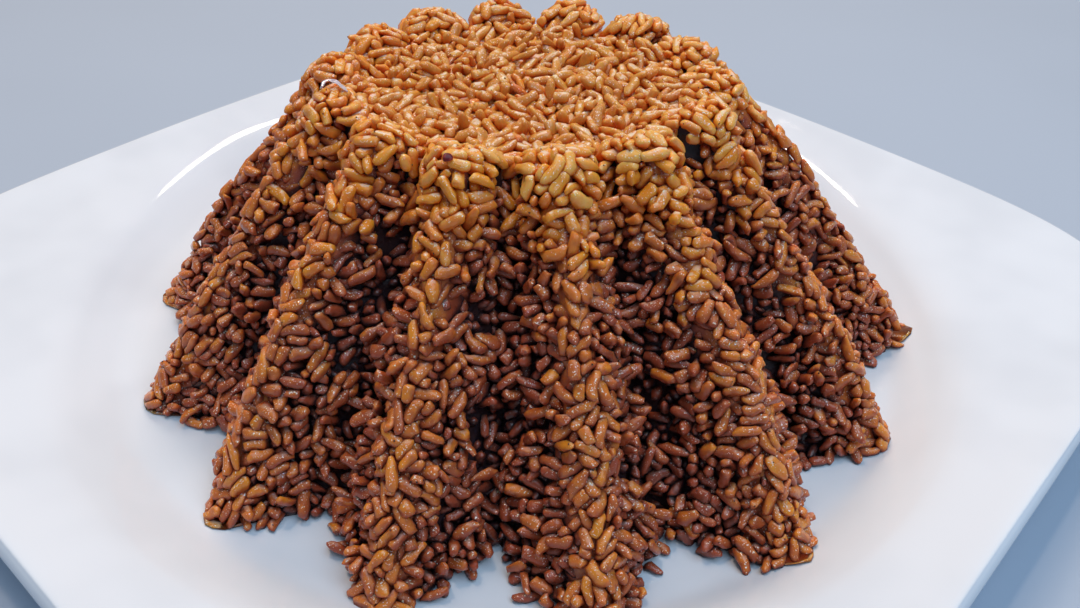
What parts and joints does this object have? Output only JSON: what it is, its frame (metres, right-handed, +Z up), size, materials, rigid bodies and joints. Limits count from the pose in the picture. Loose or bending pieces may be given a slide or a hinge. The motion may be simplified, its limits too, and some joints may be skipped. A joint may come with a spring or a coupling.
{
  "type": "plate of sayadieh",
  "caption": "Mound of brown sayadieh rice turned out of a fluted mould, with a scalloped flat top, on a square white porcelain plate with a round well.",
  "frame": {"origin": "middle of the plate's foot, on the table", "axes": "+Z up; +X and +Y along the plate's sides. The picture looks at the corner between -X and -Y."},
  "size_m": [0.2988, 0.2988, 0.09],
  "materials": {
    "porcelain": "gloss",
    "brown_rice": "satin"
  },
  "bodies": {
    "root": {"plate": "porcelain", "rice": "brown_rice"}
  },
  "joints": []
}
